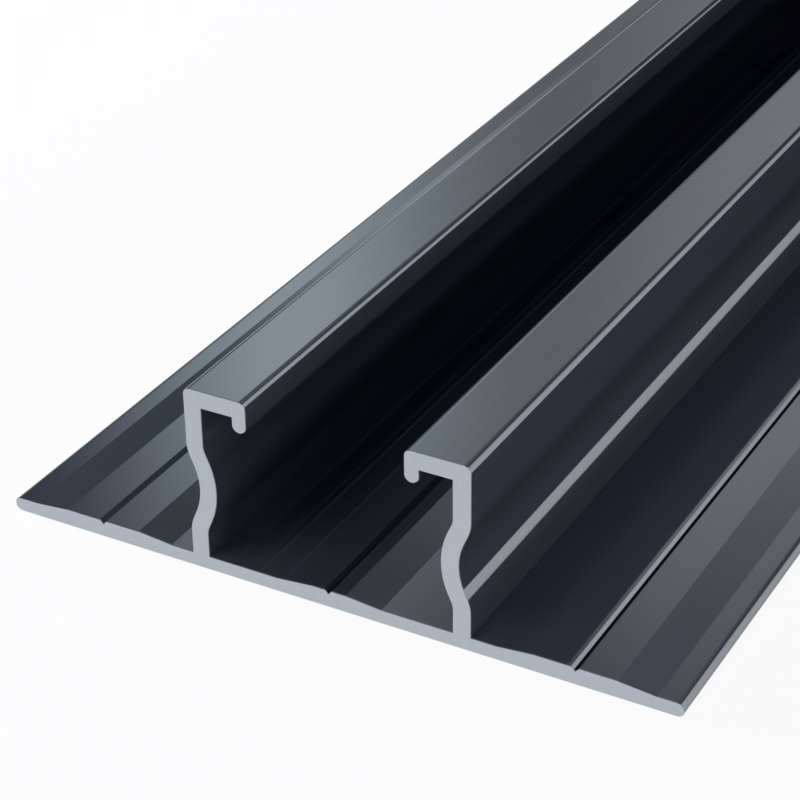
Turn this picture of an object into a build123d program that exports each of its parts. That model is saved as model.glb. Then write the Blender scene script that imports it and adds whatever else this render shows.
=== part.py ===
from build123d import *
from math import radians, sqrt, tan
import os

# A sawn length of extruded aluminium rail for mounting solar panels: a wide base plate with
# an open channel on it. Lengths are in millimetres and angles in degrees.
# X runs across the rail, Y along it and Z up. The origin lies on the flat underside, at the
# middle of the rail's width and length. Both halves of the section are alike.

rail_length = 400

# Base plate, with raised pads along the lines where screws go through
base_width = 100
plate_thickness = 2.1
pad_thickness = 2.6
side_pad_width = 11.6
centre_pad_width = 5.2
ramp_width = 5.3
screw_line_from_edge = 14.7
groove_depth = 0.55

# Webs, which stand upright and are drawn in to a waist between two bends
channel_width = 41.6
rail_height = 27.5
web_thickness = 2.6
lower_bend_height = 6.4
upper_bend_height = 18.5
bend_angle = 23.2
bend_radius = 4
waist_radius = 10.3

# Hooks along the channel's mouth, each with a lip that turns down into the channel
hook_thickness = 2.6
mouth_width = 22.9
lip_thickness = 2.1
lip_drop = 4.7
corner_radius = 1


def strip(left, bottom, right, top):
    """Rectangle of the section between two corners."""
    return Pos(left, bottom) * Rectangle(right - left, top - bottom, align=Align.MIN)


def round_tip(x, y, thickness):
    """Full round that closes the free edge of a wall."""
    return Pos(x, y) * Circle(thickness / 2)


def pad(centre, width):
    """Thicker stretch of the base plate, with a long shallow ramp on each side."""
    top = width / 2
    foot = top + ramp_width
    return Polygon(
        (centre - foot, 0),
        (centre + foot, 0),
        (centre + foot, plate_thickness),
        (centre + top, pad_thickness),
        (centre - top, pad_thickness),
        (centre - foot, plate_thickness),
        align=None,
    )


def screw_groove(centre):
    """Right-angled V in a pad's top face that starts a drill on the screw line."""
    side = groove_depth * sqrt(2)
    return Pos(centre, pad_thickness) * Rot(0, 0, 45) * Rectangle(side, side)


def base():
    """Flat base plate with rounded long edges, three pads and their grooves."""
    tip = base_width / 2 - plate_thickness / 2
    screw_line = base_width / 2 - screw_line_from_edge
    plate = strip(-tip, 0, tip, plate_thickness)
    for x in (-tip, tip):
        plate += round_tip(x, plate_thickness / 2, plate_thickness)
    for x in (-screw_line, screw_line):
        plate += pad(x, side_pad_width)
    plate += pad(0, centre_pad_width)
    for x in (-screw_line, 0, screw_line):
        plate -= screw_groove(x)
    return plate


def web():
    """Wall of even thickness along a centre line that bends in to the waist and out again."""
    upright = channel_width / 2 - web_thickness / 2
    waist_height = (lower_bend_height + upper_bend_height) / 2
    waist_depth = (waist_height - lower_bend_height) * tan(radians(bend_angle))
    centre_line = FilletPolyline(
        (upright, plate_thickness / 2),
        (upright, lower_bend_height),
        (upright - waist_depth, waist_height),
        (upright, upper_bend_height),
        (upright, rail_height - hook_thickness / 2),
        radius=(bend_radius, waist_radius, bend_radius),
    )
    return trace(centre_line, web_thickness)


def hook():
    """Ledge from the web's outer face to the mouth, with the lip that hangs from its edge."""
    mouth_face = mouth_width / 2
    lip_bottom = rail_height - lip_drop
    tip_height = lip_bottom + lip_thickness / 2
    ledge = strip(mouth_face, rail_height - hook_thickness, channel_width / 2, rail_height)
    lip = strip(mouth_face, tip_height, mouth_face + lip_thickness, rail_height - hook_thickness / 2)
    lip += round_tip(mouth_face + lip_thickness / 2, tip_height, lip_thickness)
    return ledge + lip


def section():
    """Whole cross section, with the four outer corners of the hooks rounded."""
    wall = web() + hook()
    outline = base() + wall + mirror(wall, about=Plane.YZ)
    top_corners = outline.vertices().group_by(Axis.Y)[-1]
    return fillet(top_corners, corner_radius)


mounting_rail = extrude(Plane.XZ * section(), amount=rail_length / 2, both=True)

os.makedirs("parts", exist_ok=True)
export_step(mounting_rail, "parts/mounting_rail.step")
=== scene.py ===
import bmesh
import bpy
from math import atan2, cos, radians, sin, tan
from mathutils import Matrix, Vector


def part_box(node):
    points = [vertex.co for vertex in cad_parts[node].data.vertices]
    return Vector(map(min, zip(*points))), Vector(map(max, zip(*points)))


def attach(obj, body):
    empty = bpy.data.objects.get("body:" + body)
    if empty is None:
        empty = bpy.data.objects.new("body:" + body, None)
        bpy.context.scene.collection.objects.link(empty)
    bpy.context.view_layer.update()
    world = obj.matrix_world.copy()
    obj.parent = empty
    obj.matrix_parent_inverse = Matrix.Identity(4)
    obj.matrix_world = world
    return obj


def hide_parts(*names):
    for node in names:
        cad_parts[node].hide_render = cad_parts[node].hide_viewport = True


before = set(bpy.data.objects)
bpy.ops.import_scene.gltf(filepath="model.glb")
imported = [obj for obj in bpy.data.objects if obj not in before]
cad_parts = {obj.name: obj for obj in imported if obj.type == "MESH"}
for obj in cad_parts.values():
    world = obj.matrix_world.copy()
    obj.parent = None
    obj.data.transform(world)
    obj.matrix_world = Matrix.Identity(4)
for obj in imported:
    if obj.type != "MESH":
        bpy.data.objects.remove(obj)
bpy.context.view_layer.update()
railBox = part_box("mounting_rail")
print("frame loaded")


# camera, at the photograph's viewing angle and distance

cameraSetup = dict(
    azimuth=29.23,  # degrees, seen from the right of the near end
    elevation=30.58,
    roll=-0.77,
    distance=0.2975,  # from the aim point
    aim=(0.01107, 0.03428),  # across and up, in the plane of the near end
    lens=110.67,
    sensorWidth=36,
    clip=(0.01, 50),
)


def lookDirection(azimuth, elevation):
    # azimuth is counted from the near end's side towards +X
    a = radians(azimuth)
    e = radians(elevation)
    return Vector((sin(a) * cos(e), -cos(a) * cos(e), sin(e)))


def makeCamera(setup):
    camData = bpy.data.cameras.new("photoCamera")
    camData.lens = setup["lens"]
    camData.sensor_width = setup["sensorWidth"]
    camData.clip_start, camData.clip_end = setup["clip"]
    cam = bpy.data.objects.new("photoCamera", camData)
    bpy.context.collection.objects.link(cam)
    back = lookDirection(setup["azimuth"], setup["elevation"])
    nearEnd = railBox[0][1]
    aim = Vector((setup["aim"][0], nearEnd, setup["aim"][1]))
    turn = (-back).to_track_quat("-Z", "Y").to_matrix().to_4x4()
    roll = Matrix.Rotation(radians(setup["roll"]), 4, "Z")
    cam.matrix_world = Matrix.Translation(aim + back * setup["distance"]) @ turn @ roll
    bpy.context.scene.camera = cam


makeCamera(cameraSetup)
print("camera placed")


# small helpers for node materials

noiseRange = (0.3, 0.7)  # where most values of a noise lie


def newMaterial(name):
    mat = bpy.data.materials.new(name)
    mat.use_nodes = True
    nodes = mat.node_tree.nodes
    shader = nodes["Principled BSDF"]
    return mat, nodes, mat.node_tree.links, shader


def objectCoords(nodes, links, stretch):
    coords = nodes.new("ShaderNodeTexCoord")
    mapping = nodes.new("ShaderNodeMapping")
    mapping.inputs["Scale"].default_value = stretch
    links.new(coords.outputs["Object"], mapping.inputs["Vector"])
    return mapping.outputs["Vector"]


def noise(nodes, links, vector, scale, detail):
    tex = nodes.new("ShaderNodeTexNoise")
    tex.inputs["Scale"].default_value = scale
    tex.inputs["Detail"].default_value = detail
    links.new(vector, tex.inputs["Vector"])
    return tex.outputs["Fac"]


def remap(nodes, links, value, low, high):
    node = nodes.new("ShaderNodeMapRange")
    node.inputs["From Min"].default_value = noiseRange[0]
    node.inputs["From Max"].default_value = noiseRange[1]
    node.inputs["To Min"].default_value = low
    node.inputs["To Max"].default_value = high
    links.new(value, node.inputs["Value"])
    return node.outputs["Result"]


def addRelief(nodes, links, shader, value, height):
    bump = nodes.new("ShaderNodeBump")
    bump.inputs["Distance"].default_value = height
    links.new(value, bump.inputs["Height"])
    links.new(bump.outputs["Normal"], shader.inputs["Normal"])


# black anodised faces: dark mirror-like metal with fine die lines along the rail

anodised = dict(
    darkTone=(0.291, 0.313, 0.338, 1),
    lightTone=(0.307, 0.328, 0.355, 1),
    metallic=0.85,  # the rest is the dye's own dull colour
    edgeTone=(0.5, 0.5, 0.5, 1),  # dark where the light only grazes
    roughness=(0.02, 0.05),
    lineStretch=(1.0, 0.006, 1.0),  # the lines run along Y
    lineScale=2600,
    lineDetail=4,
    lineHeight=0.00000012,
)

# painted shade: a copy of the anodised finish with less of the dye's dull colour, so the screw
# groove's walls render darker
paintedShadeGroove = dict(anodised, metallic=0.95)  # looks a little darker


def anodisedMaterial(name, look):
    mat, nodes, links, shader = newMaterial(name)
    shader.inputs["Metallic"].default_value = look["metallic"]
    shader.inputs["Specular Tint"].default_value = look["edgeTone"]
    lines = objectCoords(nodes, links, look["lineStretch"])
    fine = noise(nodes, links, lines, look["lineScale"], look["lineDetail"])
    tone = nodes.new("ShaderNodeMix")
    tone.data_type = "RGBA"
    tone.inputs["A"].default_value = look["darkTone"]
    tone.inputs["B"].default_value = look["lightTone"]
    links.new(remap(nodes, links, fine, 0, 1), tone.inputs["Factor"])
    links.new(tone.outputs["Result"], shader.inputs["Base Color"])
    links.new(remap(nodes, links, fine, *look["roughness"]), shader.inputs["Roughness"])
    addRelief(nodes, links, shader, fine, look["lineHeight"])
    return mat


# bare metal where the saw went through

sawn = dict(
    tone=(0.485, 0.525, 0.565, 1),
    roughness=(0.38, 0.5),
    markStretch=(0.35, 1, 1),  # the marks run across the rail
    markScale=3200,
    markDetail=2,
    markHeight=0.000002,
)


def sawnMaterial(look):
    mat, nodes, links, shader = newMaterial("sawnAluminium")
    shader.inputs["Metallic"].default_value = 1.0
    shader.inputs["Base Color"].default_value = look["tone"]
    sawMarks = objectCoords(nodes, links, look["markStretch"])
    marks = noise(nodes, links, sawMarks, look["markScale"], look["markDetail"])
    links.new(remap(nodes, links, marks, *look["roughness"]), shader.inputs["Roughness"])
    addRelief(nodes, links, shader, marks, look["markHeight"])
    return mat


# the rail: half its section is drawn, mirrored, filled and extruded from end to end

rail = dict(
    plate=0.0021,  # thickness
    pad=0.0026,  # thickness
    sidePad=0.0116,  # width of the flat
    centrePad=0.0052,  # width of the flat
    ramp=0.0053,  # width, from a pad down to the plate
    screwLineFromEdge=0.0147,
    groove=0.00055,  # depth, and half the width
    channelWidth=0.0416,  # outside
    web=0.0026,  # thickness
    lowBend=0.0064,  # height
    highBend=0.0185,  # height
    bendAngle=23.2,  # degrees off upright
    bendRadius=0.004,  # in the middle of the wall
    waistRadius=0.0103,  # in the middle of the wall
    hook=0.0026,  # thickness
    mouth=0.0229,  # between the lips
    lip=0.0021,  # thickness
    lipDrop=0.0047,  # from the top to the lip's tip
    cornerRadius=0.001,  # of the hook's upper corners
    arcStep=3,  # degrees for each facet of a rounding
    arcFacets=3,  # at least so many
    smoothUpTo=4.5,  # degrees from one facet to the next
    flatWeight=100,  # large flat faces lead the shading of their neighbours
    sawnEdge=0.00008,  # broken edge round each end
    weld=0.000001,
)

# the share of a face's normal that tells its kind
facing = dict(
    end=0.9,  # more than this along the rail
    longFace=0.1,  # less than this along the rail
    grooveWall=0.5,  # more than this across the rail
)


def sectionCorners(size):
    # across, up and radius of each corner of the right half, round from the middle of the underside
    edge = railBox[1][0]
    top = railBox[1][2]
    plate, pad, groove, ramp = size["plate"], size["pad"], size["groove"], size["ramp"]
    screwLine = edge - size["screwLineFromEdge"]
    padHalf = size["sidePad"] / 2
    centreHalf = size["centrePad"] / 2
    half = size["web"] / 2
    webOut = size["channelWidth"] / 2
    webIn = webOut - size["web"]
    turn = radians(size["bendAngle"])
    waistHeight = (size["lowBend"] + size["highBend"]) / 2
    waist = webOut - half - (waistHeight - size["lowBend"]) * tan(turn)
    shift = half * tan(turn / 2)  # how far a bend's corner moves from the wall's middle to its face
    tight = size["bendRadius"] - half
    wide = size["bendRadius"] + half
    lipOut = size["mouth"] / 2
    lipIn = lipOut + size["lip"]
    lipBottom = top - size["lipDrop"]
    under = top - size["hook"]
    return [
        (0, 0, 0),
        (edge, 0, plate / 2),
        (edge, plate, plate / 2),
        (screwLine + padHalf + ramp, plate, 0),
        (screwLine + padHalf, pad, 0),
        (screwLine + groove, pad, 0),
        (screwLine, pad - groove, 0),
        (screwLine - groove, pad, 0),
        (screwLine - padHalf, pad, 0),
        (screwLine - padHalf - ramp, plate, 0),
        (webOut, plate, 0),
        (webOut, size["lowBend"] + shift, wide),
        (waist + half / cos(turn), waistHeight, size["waistRadius"] - half),
        (webOut, size["highBend"] - shift, wide),
        (webOut, top, size["cornerRadius"]),
        (lipOut, top, size["cornerRadius"]),
        (lipOut, lipBottom, size["lip"] / 2),
        (lipIn, lipBottom, size["lip"] / 2),
        (lipIn, under, 0),
        (webIn, under, 0),
        (webIn, size["highBend"] + shift, tight),
        (waist - half / cos(turn), waistHeight, size["waistRadius"] + half),
        (webIn, size["lowBend"] - shift, tight),
        (webIn, plate, 0),
        (centreHalf + ramp, plate, 0),
        (centreHalf, pad, 0),
        (groove, pad, 0),
        (0, pad - groove, 0),
    ]


def extrudeTo(bm, vert, place):
    new = bmesh.ops.extrude_vert_indiv(bm, verts=[vert])["verts"][0]
    new.co = place
    return new


def vertsOf(geom):
    return [item for item in geom if isinstance(item, bmesh.types.BMVert)]


def drawOutline(bm, corners, y, size):
    # each straight run is extruded from the last vertex, and each rounding is that vertex spun
    points = [Vector((x, y, z)) for x, z, _ in corners]
    radii = [radius for _, _, radius in corners]
    pen = bm.verts.new(points[0])
    for before, here, after, radius in zip(points, points[1:], points[2:], radii[1:]):
        arrive = (here - before).normalized()
        leave = (after - here).normalized()
        turn = atan2(arrive.cross(leave).dot(Vector((0, -1, 0))), arrive.dot(leave))
        start = here - arrive * radius * tan(abs(turn) / 2)
        pen = extrudeTo(bm, pen, start)
        if radius:
            side = Vector((-arrive.z, 0, arrive.x)) * (1 if turn > 0 else -1)
            steps = max(size["arcFacets"], round(abs(turn) / radians(size["arcStep"])))
            spun = bmesh.ops.spin(
                bm, geom=[pen], cent=start + side * radius, axis=(0, -1, 0),
                angle=turn, steps=steps, use_merge=False,
            )
            pen = vertsOf(spun["geom_last"])[0]
    extrudeTo(bm, pen, points[-1])


def extrudeSection(bm, size):
    nearEnd, farEnd = railBox[0][1], railBox[1][1]
    drawOutline(bm, sectionCorners(size), nearEnd, size)
    bmesh.ops.remove_doubles(bm, verts=bm.verts, dist=size["weld"])
    rightHalf = bm.verts[:] + bm.edges[:]
    bmesh.ops.mirror(bm, geom=rightHalf, matrix=Matrix.Identity(4), merge_dist=size["weld"], axis="X")
    section = bmesh.ops.contextual_create(bm, geom=bm.edges[:])["faces"]
    grown = bmesh.ops.extrude_face_region(bm, geom=section, use_keep_orig=True)["geom"]
    bmesh.ops.translate(bm, vec=(0, farEnd - nearEnd, 0), verts=vertsOf(grown))
    bmesh.ops.recalc_face_normals(bm, faces=bm.faces)


def isEnd(face):
    return abs(face.normal.y) > facing["end"]


def breakSawnEdges(bm, size):
    rims = [edge for face in bm.faces if isEnd(face) for edge in face.edges]
    bmesh.ops.bevel(
        bm, geom=rims, offset=size["sawnEdge"], affect="EDGES", segments=1, profile=0.5, material=-1
    )


# the screw groove's walls take the copy of the finish that carries painted shade
def finishOf(face, size):
    if isEnd(face):
        return "sawnEnd"
    height = face.calc_center_median().z
    inPad = size["pad"] - size["groove"] < height < size["pad"]
    return "groove" if inPad and abs(face.normal.x) > facing["grooveWall"] else "face"


def makeRail(size, finishes):
    bm = bmesh.new()
    extrudeSection(bm, size)
    breakSawnEdges(bm, size)
    slots = list(finishes)
    for face in bm.faces:
        face.material_index = slots.index(finishOf(face, size))
        face.smooth = abs(face.normal.y) < facing["longFace"]
    for edge in bm.edges:
        edge.smooth = edge.calc_face_angle() < radians(size["smoothUpTo"])
    mesh = bpy.data.meshes.new("railProfile")
    bm.to_mesh(mesh)
    bm.free()
    for material in finishes.values():
        mesh.materials.append(material)
    obj = bpy.data.objects.new("railProfile", mesh)
    bpy.context.collection.objects.link(obj)
    shading = obj.modifiers.new("flatFacesFirst", "WEIGHTED_NORMAL")
    shading.keep_sharp = True
    shading.weight = size["flatWeight"]
    return obj


railFinishes = dict(
    face=anodisedMaterial("blackAnodised", anodised),
    sawnEnd=sawnMaterial(sawn),
    # painted shade: the darker copy of the anodised finish, for the screw groove's walls
    groove=anodisedMaterial("paintedShadeGrooveAnodised", paintedShadeGroove),
)
railProfile = makeRail(rail, railFinishes)
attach(railProfile, "root")
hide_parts("mounting_rail")
print("rail made:", len(railProfile.data.polygons), "faces")


# studio: white floor, the soft cards that the faces mirror, and lamps for the dull share of the light

studio = dict(
    floorSize=8.0,
    floorColor=(0.93, 0.93, 0.93, 1),
    floorRoughness=0.9,
    floorGlow=0.92,  # share of plain white in what camera and metal see of the floor
    backdrop=(1, 1, 1, 1),  # what the camera sees past the floor
    openSky=(0.38, 0.42, 0.43, 1),  # what the faces mirror past the cards
    softFill=(0.004, 0.005, 0.1, 1),  # what dull surfaces get from all over the sky
    secondMirror=0.02,  # what is left of the surroundings in a mirror image's mirror image
    mirrorDepth=1.5,  # between the first mirror image and the second
)

# azimuth from the rail's line towards +X and elevation, both in degrees, and their soft edges
softCards = [
    # low all round
    dict(azimuth=(-200, 200), elevation=(-20, 9.7), soft=(1, 13), tone=(0.22, 0.235, 0.24, 1)),
    # pale on the right
    dict(azimuth=(27, 75), elevation=(-30, 44.5), soft=(12, 16), tone=(0.95, 0.95, 0.95, 1)),
    # dark over the rail's line
    dict(azimuth=(-75, 28), elevation=(16, 42.6), soft=(18, 8), tone=(0.018, 0.02, 0.022, 1)),
    # two pale glows in the dark one
    dict(azimuth=(-21, -8), elevation=(15.5, 36.5), soft=(27, 12), tone=(0.96, 0.99, 0.945, 1)),
    dict(azimuth=(-35.1, -29), elevation=(17.8, 34.3), soft=(9.6, 10.5), tone=(0.96, 1.07, 1.09, 1)),
    # dim above them
    dict(azimuth=(-20, 12.5), elevation=(34, 70), soft=(6, 28), tone=(0.124, 0.15, 0.156, 1)),
]


def feed(links, value, socket):
    if isinstance(value, bpy.types.NodeSocket):
        links.new(value, socket)
    else:
        socket.default_value = value


def mathNode(nodes, links, operation, *values):
    node = nodes.new("ShaderNodeMath")
    node.operation = operation
    for value, socket in zip(values, node.inputs):
        feed(links, value, socket)
    return node.outputs["Value"]


def mixColor(nodes, links, factor, first, second):
    node = nodes.new("ShaderNodeMix")
    node.data_type = "RGBA"
    links.new(factor, node.inputs["Factor"])
    feed(links, first, node.inputs["A"])
    feed(links, second, node.inputs["B"])
    return node.outputs["Result"]


def mixShader(nodes, links, factor, first, second):
    node = nodes.new("ShaderNodeMixShader")
    links.new(factor, node.inputs["Fac"])
    links.new(first, node.inputs[1])
    links.new(second, node.inputs[2])
    return node.outputs["Shader"]


def softStep(nodes, links, value, middle, width, low, high):
    node = nodes.new("ShaderNodeMapRange")
    node.interpolation_type = "SMOOTHSTEP"
    node.inputs["From Min"].default_value = radians(middle - width / 2)
    node.inputs["From Max"].default_value = radians(middle + width / 2)
    node.inputs["To Min"].default_value = low
    node.inputs["To Max"].default_value = high
    links.new(value, node.inputs["Value"])
    return node.outputs["Result"]


def softWindow(nodes, links, value, span, width):
    rise = softStep(nodes, links, value, span[0], width, 0, 1)
    fall = softStep(nodes, links, value, span[1], width, 1, 0)
    return mathNode(nodes, links, "MULTIPLY", rise, fall)


def floorMaterial(look):
    mat, nodes, links, shader = newMaterial("whiteFloor")
    shader.inputs["Base Color"].default_value = look["floorColor"]
    shader.inputs["Roughness"].default_value = look["floorRoughness"]
    shader.inputs["Specular IOR Level"].default_value = 0.0
    paths = nodes.new("ShaderNodeLightPath")
    seen = paths.outputs["Is Camera Ray"]
    for ray in ("Is Glossy Ray", "Is Transmission Ray"):
        seen = mathNode(nodes, links, "MAXIMUM", seen, paths.outputs[ray])
    share = mathNode(nodes, links, "MULTIPLY", seen, look["floorGlow"])
    glow = nodes.new("ShaderNodeEmission")
    lit = mixShader(nodes, links, share, shader.outputs["BSDF"], glow.outputs["Emission"])
    dark = nodes.new("ShaderNodeEmission")
    dark.inputs["Strength"].default_value = look["secondMirror"]
    twice = mathNode(nodes, links, "GREATER_THAN", paths.outputs["Glossy Depth"], look["mirrorDepth"])
    surface = mixShader(nodes, links, twice, lit, dark.outputs["Emission"])
    links.new(surface, nodes["Material Output"].inputs["Surface"])
    return mat


def makeFloor(look):
    bm = bmesh.new()
    bmesh.ops.create_grid(bm, x_segments=1, y_segments=1, size=look["floorSize"] / 2)
    mesh = bpy.data.meshes.new("floor")
    bm.to_mesh(mesh)
    bm.free()
    mesh.materials.append(floorMaterial(look))
    floor = bpy.data.objects.new("floor", mesh)
    bpy.context.collection.objects.link(floor)


def makeWorld(look, cards):
    world = bpy.data.worlds.new("studioWorld")
    bpy.context.scene.world = world
    world.use_nodes = True
    nodes, links = world.node_tree.nodes, world.node_tree.links
    coords = nodes.new("ShaderNodeTexCoord")
    split = nodes.new("ShaderNodeSeparateXYZ")
    links.new(coords.outputs["Generated"], split.inputs["Vector"])
    alongRail = mathNode(nodes, links, "ABSOLUTE", split.outputs["Y"])  # the same in front and behind
    azimuth = mathNode(nodes, links, "ARCTAN2", split.outputs["X"], alongRail)
    elevation = mathNode(nodes, links, "ARCSINE", split.outputs["Z"])
    sky = look["openSky"]
    for card in cards:
        across = softWindow(nodes, links, azimuth, card["azimuth"], card["soft"][0])
        up = softWindow(nodes, links, elevation, card["elevation"], card["soft"][1])
        mask = mathNode(nodes, links, "MULTIPLY", across, up)
        sky = mixColor(nodes, links, mask, sky, card["tone"])
    paths = nodes.new("ShaderNodeLightPath")
    sky = mixColor(nodes, links, paths.outputs["Is Glossy Ray"], look["softFill"], sky)
    sky = mixColor(nodes, links, paths.outputs["Is Camera Ray"], sky, look["backdrop"])
    links.new(sky, nodes["Background"].inputs["Color"])
    once = mathNode(nodes, links, "LESS_THAN", paths.outputs["Glossy Depth"], look["mirrorDepth"])
    level = mathNode(nodes, links, "MAXIMUM", once, look["secondMirror"])
    links.new(level, nodes["Background"].inputs["Strength"])


lampRig = dict(
    distance=1.5,  # from the middle of the rail's underside
    color=(0.93, 1.0, 1.1),
    lamps=[  # azimuths counted as the cards' are
        dict(name="leftLamp", azimuth=-90, elevation=15, size=0.6, power=36),
        dict(name="frontLamp", azimuth=-150, elevation=60, size=0.7, power=6.7),
        dict(name="rightLamp", azimuth=95, elevation=10, size=0.6, power=8.3),
        dict(name="cornerLamp", azimuth=125, elevation=25, size=0.6, power=2.1),
    ],
)


def makeLamps(rig):
    for lamp in rig["lamps"]:
        data = bpy.data.lights.new(lamp["name"], "AREA")
        data.size = lamp["size"]
        data.energy = lamp["power"]
        data.color = rig["color"]
        obj = bpy.data.objects.new(lamp["name"], data)
        bpy.context.collection.objects.link(obj)
        toward = lookDirection(180 - lamp["azimuth"], lamp["elevation"])
        obj.location = toward * rig["distance"]
        obj.rotation_euler = toward.to_track_quat("Z", "Y").to_euler()
        obj.visible_glossy = False  # the cards make the mirror images


makeFloor(studio)
makeWorld(studio, softCards)
makeLamps(lampRig)
bpy.context.scene.view_settings.view_transform = "Standard"
print("studio lit")
